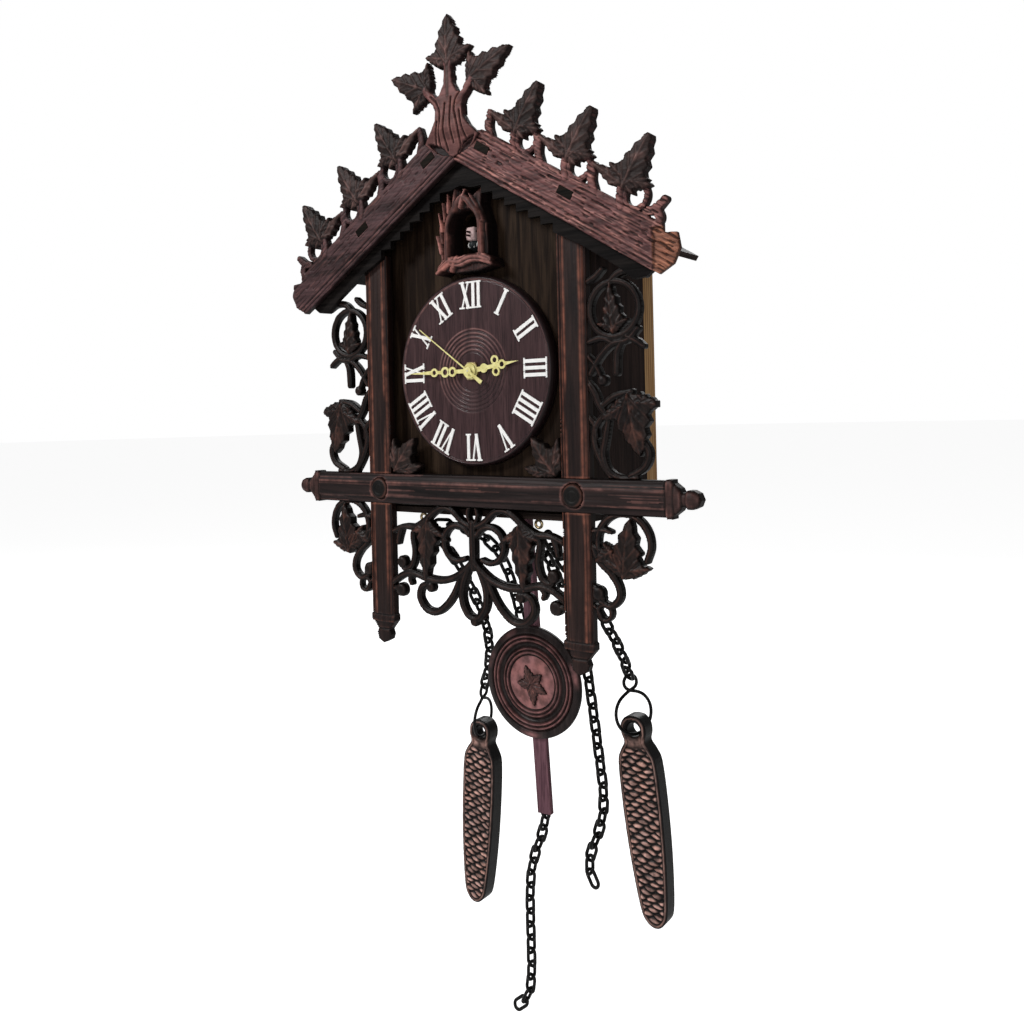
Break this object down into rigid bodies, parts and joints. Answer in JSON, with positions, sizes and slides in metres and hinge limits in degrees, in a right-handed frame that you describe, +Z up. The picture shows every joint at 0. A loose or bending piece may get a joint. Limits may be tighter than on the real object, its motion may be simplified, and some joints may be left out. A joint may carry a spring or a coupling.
{
  "type": "cuckoo clock",
  "caption": "Wall clock in a carved chalet-style wooden case with a round dial, a sliding bird under the gable, a swinging pendulum and fir-cone weights on chains.",
  "frame": {"origin": "centre of the hanging hole, in the plane of the back that rests on the wall", "axes": "+X to the viewer's right, +Y into the wall, +Z up"},
  "size_m": [0.31, 0.1187, 0.6783],
  "materials": {
    "case_wood": "stained, open grain",
    "plywood": "raw plywood",
    "roof_wood": "stained, open grain",
    "barge_wood": "stained, sawn grain",
    "dark_wood": "dark stain",
    "carved_wood": "dark stain, worn on the edges",
    "post_wood": "dark stain, worn on the edges",
    "dial_wood": "satin lacquer",
    "numeral_plastic": "white, satin",
    "hand_plastic": "pale ivory",
    "nest_wood": "stained, worn on the edges",
    "bird_paint": "painted",
    "movement_plastic": "moulded",
    "gear_plastic": "moulded",
    "cell_jacket": "plain jacket",
    "rod_wood": "stained",
    "bob_wood": "dark stain, worn on the rings",
    "brass": "dull",
    "black_wire": "blackened",
    "cone_iron": "painted dark, worn on the scales"
  },
  "bodies": {
    "case": {"back_frame": "plywood", "bargeboard_left": "barge_wood", "bargeboard_right": "barge_wood", "batteries": "cell_jacket", "battery_box": "movement_plastic", "case_floor": "case_wood", "centre_fret": "carved_wood", "chain_hooks": "brass", "corner_leaf_left": "carved_wood", "corner_leaf_right": "carved_wood", "cresting_left": "carved_wood", "cresting_right": "carved_wood", "cross_beam": "post_wood", "dial_disc": "dial_wood", "dial_nut": "brass", "frame_hinges": "brass", "front_panel": "case_wood", "gable_trim": "dark_wood", "hour_numerals": "numeral_plastic", "lower_fret_left": "carved_wood", "lower_fret_right": "carved_wood", "movement_case": "movement_plastic", "movement_cover": "movement_plastic", "nest_box": "case_wood", "nest_front": "nest_wood", "peg_buttons": "post_wood", "pendulum_drive": "movement_plastic", "post_left": "post_wood", "post_right": "post_wood", "ridge_ornament": "barge_wood", "roof_inlays": "dark_wood", "roof_panel_left": "roof_wood", "roof_panel_right": "roof_wood", "side_fret_left": "carved_wood", "side_fret_right": "carved_wood", "side_panel_left": "case_wood", "side_panel_right": "case_wood"},
    "second_train": {"second_wheel": "gear_plastic", "second_hand": "hand_plastic"},
    "third_arbor": {"third_wheel": "gear_plastic"},
    "minute_train": {"centre_wheel": "gear_plastic", "minute_hand": "hand_plastic"},
    "motion_arbor": {"motion_wheel": "gear_plastic"},
    "hour_train": {"hour_wheel": "gear_plastic", "hour_hand": "hand_plastic"},
    "bird": {"bird_carriage": "case_wood", "cuckoo_bird": "bird_paint"},
    "door": {"back_door": "plywood", "door_hinges": "brass", "speaker": "movement_plastic"},
    "pendulum": {"pendulum_rod": "rod_wood", "pendulum_bob": "bob_wood"},
    "weight_strand_left": {"weight_chain_left": "black_wire"},
    "weight_strand_right": {"weight_chain_right": "black_wire"},
    "free_strand_left": {"free_chain_left": "black_wire"},
    "free_strand_right": {"free_chain_right": "black_wire"},
    "weight_left": {"weight_wire_left": "black_wire", "cone_weight_left": "cone_iron"},
    "weight_right": {"weight_wire_right": "black_wire", "cone_weight_right": "cone_iron"}
  },
  "joints": [
    {"name": "second_turn", "type": "hinge", "parent": "case", "child": "second_train", "pos_m": [0, -0.0545, -0.0965], "axis": [0, 1, 0], "continuous": true},
    {"name": "third_turn", "type": "hinge", "parent": "case", "child": "third_arbor", "pos_m": [0.0116, -0.0545, -0.0965], "axis": [0, 1, 0], "continuous": true},
    {"name": "minute_turn", "type": "hinge", "parent": "case", "child": "minute_train", "pos_m": [0, -0.0645, -0.0965], "axis": [0, 1, 0], "continuous": true},
    {"name": "motion_turn", "type": "hinge", "parent": "case", "child": "motion_arbor", "pos_m": [-0.0124, -0.0645, -0.0965], "axis": [0, 1, 0], "continuous": true},
    {"name": "hour_turn", "type": "hinge", "parent": "case", "child": "hour_train", "pos_m": [0, -0.0745, -0.0965], "axis": [0, 1, 0], "continuous": true},
    {"name": "bird_slide", "type": "slide", "parent": "case", "child": "bird", "axis": [0, -1, 0], "range_m": [0, 0.018]},
    {"name": "door_swing", "type": "hinge", "parent": "case", "child": "door", "pos_m": [-0.0632, -0.0022, -0.095], "axis": [0, 0, 1], "range_deg": [0, 100]},
    {"name": "pendulum_swing", "type": "hinge", "parent": "case", "child": "pendulum", "pos_m": [0, -0.0402, -0.127], "axis": [0, 1, 0], "range_deg": [-3, 8]},
    {"name": "weight_strand_left_swing", "type": "hinge", "parent": "case", "child": "weight_strand_left", "pos_m": [-0.049, -0.082, -0.1914], "axis": [-1, 0, 0], "range_deg": [0, 25]},
    {"name": "weight_strand_right_swing", "type": "hinge", "parent": "case", "child": "weight_strand_right", "pos_m": [0.043, -0.082, -0.1914], "axis": [-1, 0, 0], "range_deg": [0, 25]},
    {"name": "free_strand_left_swing", "type": "hinge", "parent": "case", "child": "free_strand_left", "pos_m": [-0.049, -0.082, -0.1914], "axis": [0, 1, 0], "range_deg": [-5, 5]},
    {"name": "free_strand_right_swing", "type": "hinge", "parent": "case", "child": "free_strand_right", "pos_m": [0.043, -0.082, -0.1914], "axis": [0, 1, 0], "range_deg": [-2.5, 2.5]},
    {"name": "weight_left_swing", "type": "hinge", "parent": "weight_strand_left", "child": "weight_left", "pos_m": [-0.0599, -0.0065, -0.3227], "axis": [-1, 0, 0], "range_deg": [-30, 5]},
    {"name": "weight_right_swing", "type": "hinge", "parent": "weight_strand_right", "child": "weight_right", "pos_m": [0.0615, -0.0065, -0.2984], "axis": [-1, 0, 0], "range_deg": [-20, 5]}
  ],
  "couplings": [
    {"joint": "third_turn", "follows": "second_turn", "ratio": -0.13333},
    {"joint": "minute_turn", "follows": "second_turn", "ratio": 0.016667},
    {"joint": "motion_turn", "follows": "second_turn", "ratio": -0.0055556},
    {"joint": "hour_turn", "follows": "second_turn", "ratio": 0.0013889}
  ]
}
